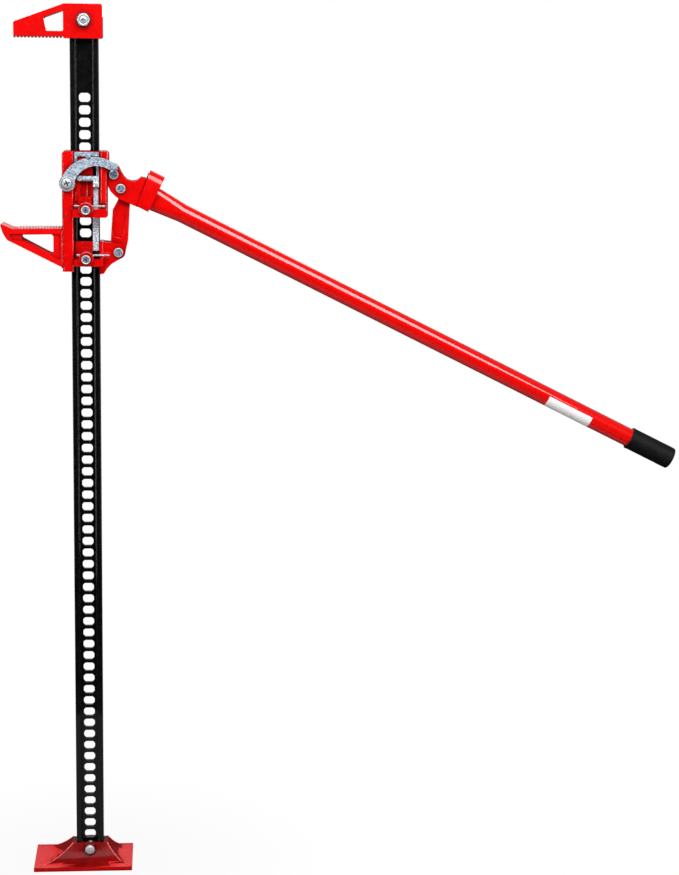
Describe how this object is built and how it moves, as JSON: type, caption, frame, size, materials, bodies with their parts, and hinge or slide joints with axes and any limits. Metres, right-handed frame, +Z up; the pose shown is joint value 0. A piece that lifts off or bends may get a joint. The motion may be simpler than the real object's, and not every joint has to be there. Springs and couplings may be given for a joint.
{
  "type": "high lift jack",
  "caption": "Farm-style high lift jack: holed steel standard, climbing runners with a lifting nose, reversing latch, top clamp, foot and long pump handle.",
  "frame": {"origin": "on the floor, under the axis of the steel standard, at the middle of the foot's centre pad", "axes": "+Z up along the standard, +X towards the handle (the nose points to -X), +Y away from the front, where the latch and climbing pins are seen"},
  "size_m": [0.955, 0.0944, 1.2206],
  "materials": {
    "red_paint": "gloss",
    "black_paint": "gloss",
    "zinc": "satin",
    "steel": "satin",
    "black_rubber": "matte"
  },
  "bodies": {
    "standard": {"rack": "black_paint", "base_plate": "red_paint", "base_bolt": "zinc", "base_bolt_nut": "zinc", "top_clamp": "red_paint", "clamp_bolt": "zinc", "clamp_nut": "zinc"},
    "large_runner_body": {"large_runner": "red_paint", "lifting_nose": "red_paint", "detent_plate": "zinc", "socket_pivot_pin": "zinc", "latch_screw": "zinc", "climbing_spring_upper": "steel"},
    "small_runner_body": {"small_runner": "red_paint", "pitman_lower_pin": "zinc", "climbing_spring_lower": "steel"},
    "upper_pin_body": {"climbing_pin_upper": "steel", "cross_pin_upper": "steel"},
    "lower_pin_body": {"climbing_pin_lower": "steel", "cross_pin_lower": "steel"},
    "latch_body": {"reversing_latch": "zinc"},
    "beam_body": {"walking_beam": "zinc", "beam_link": "zinc"},
    "handle_body": {"handle_socket": "red_paint", "handle_tube": "red_paint", "handle_grip": "black_rubber", "pitman_upper_pin": "zinc"},
    "pitman_body": {"pitman": "red_paint", "pitman_eye_bush": "zinc"}
  },
  "joints": [
    {"name": "lift_travel", "type": "slide", "parent": "standard", "child": "large_runner_body", "axis": [0, 0, 1], "range_m": [-0.804, 0.1005]},
    {"name": "handle_pump", "type": "hinge", "parent": "large_runner_body", "child": "handle_body", "pos_m": [0.0393, 0, 0.99275], "axis": [0, -1, 0], "range_deg": [0, 105]},
    {"name": "small_runner_travel", "type": "slide", "parent": "large_runner_body", "child": "small_runner_body", "axis": [0, 0, 1], "range_m": [0, 0.0335]},
    {"name": "pitman_swing", "type": "hinge", "parent": "handle_body", "child": "pitman_body", "pos_m": [0.04863, 0, 0.97371], "axis": [0, -1, 0], "range_deg": [-109.4, 0]},
    {"name": "upper_pin_travel", "type": "slide", "parent": "large_runner_body", "child": "upper_pin_body", "axis": [0, 1, 0], "range_m": [0, 0.007], "deforming": ["climbing_spring_upper"]},
    {"name": "lower_pin_travel", "type": "slide", "parent": "small_runner_body", "child": "lower_pin_body", "axis": [0, 1, 0], "range_m": [0, 0.007], "deforming": ["climbing_spring_lower"]},
    {"name": "latch_swing", "type": "hinge", "parent": "large_runner_body", "child": "latch_body", "pos_m": [-0.0237, 0, 0.98075], "axis": [0, -1, 0], "range_deg": [0, 22]},
    {"name": "walking_beam_travel", "type": "slide", "parent": "large_runner_body", "child": "beam_body", "axis": [0, 0, 1], "range_m": [0, 0.0154]}
  ],
  "couplings": [
    {"joint": "small_runner_travel", "follows": "handle_pump", "m_per_rad": 0.01828},
    {"joint": "pitman_swing", "follows": "handle_pump", "ratio": -1.0416},
    {"joint": "walking_beam_travel", "follows": "latch_swing", "m_per_rad": 0.04011}
  ]
}
